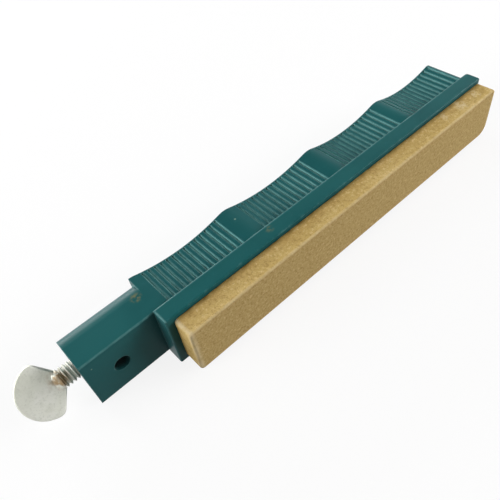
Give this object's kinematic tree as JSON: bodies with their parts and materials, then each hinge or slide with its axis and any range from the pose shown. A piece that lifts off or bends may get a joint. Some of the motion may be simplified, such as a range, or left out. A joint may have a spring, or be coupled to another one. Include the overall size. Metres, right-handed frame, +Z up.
{
  "type": "guided sharpening hone",
  "caption": "Guided sharpening hone: a tan abrasive stone on a scalloped plastic grip with a cross hole for a guide rod and a thumbscrew that clamps it.",
  "frame": {"origin": "centre of the bounding box's bottom face, on the surface that the hone lies on", "axes": "+X along the length, from the thumbscrew to the far end; +Y from the stone's face to the back of the grip; +Z up, across the width"},
  "size_m": [0.1252, 0.0188, 0.0146],
  "materials": {
    "holder": "satin",
    "stone": "matte",
    "thumbscrew": "satin"
  },
  "bodies": {
    "hone": {"holder": "holder", "stone": "stone"},
    "thumbscrew": {"thumbscrew": "thumbscrew"}
  },
  "joints": [
    {"name": "thumbscrew_travel", "type": "slide", "parent": "hone", "child": "thumbscrew", "axis": [1, 0, 0], "range_m": [-0.004, 0.003]}
  ]
}
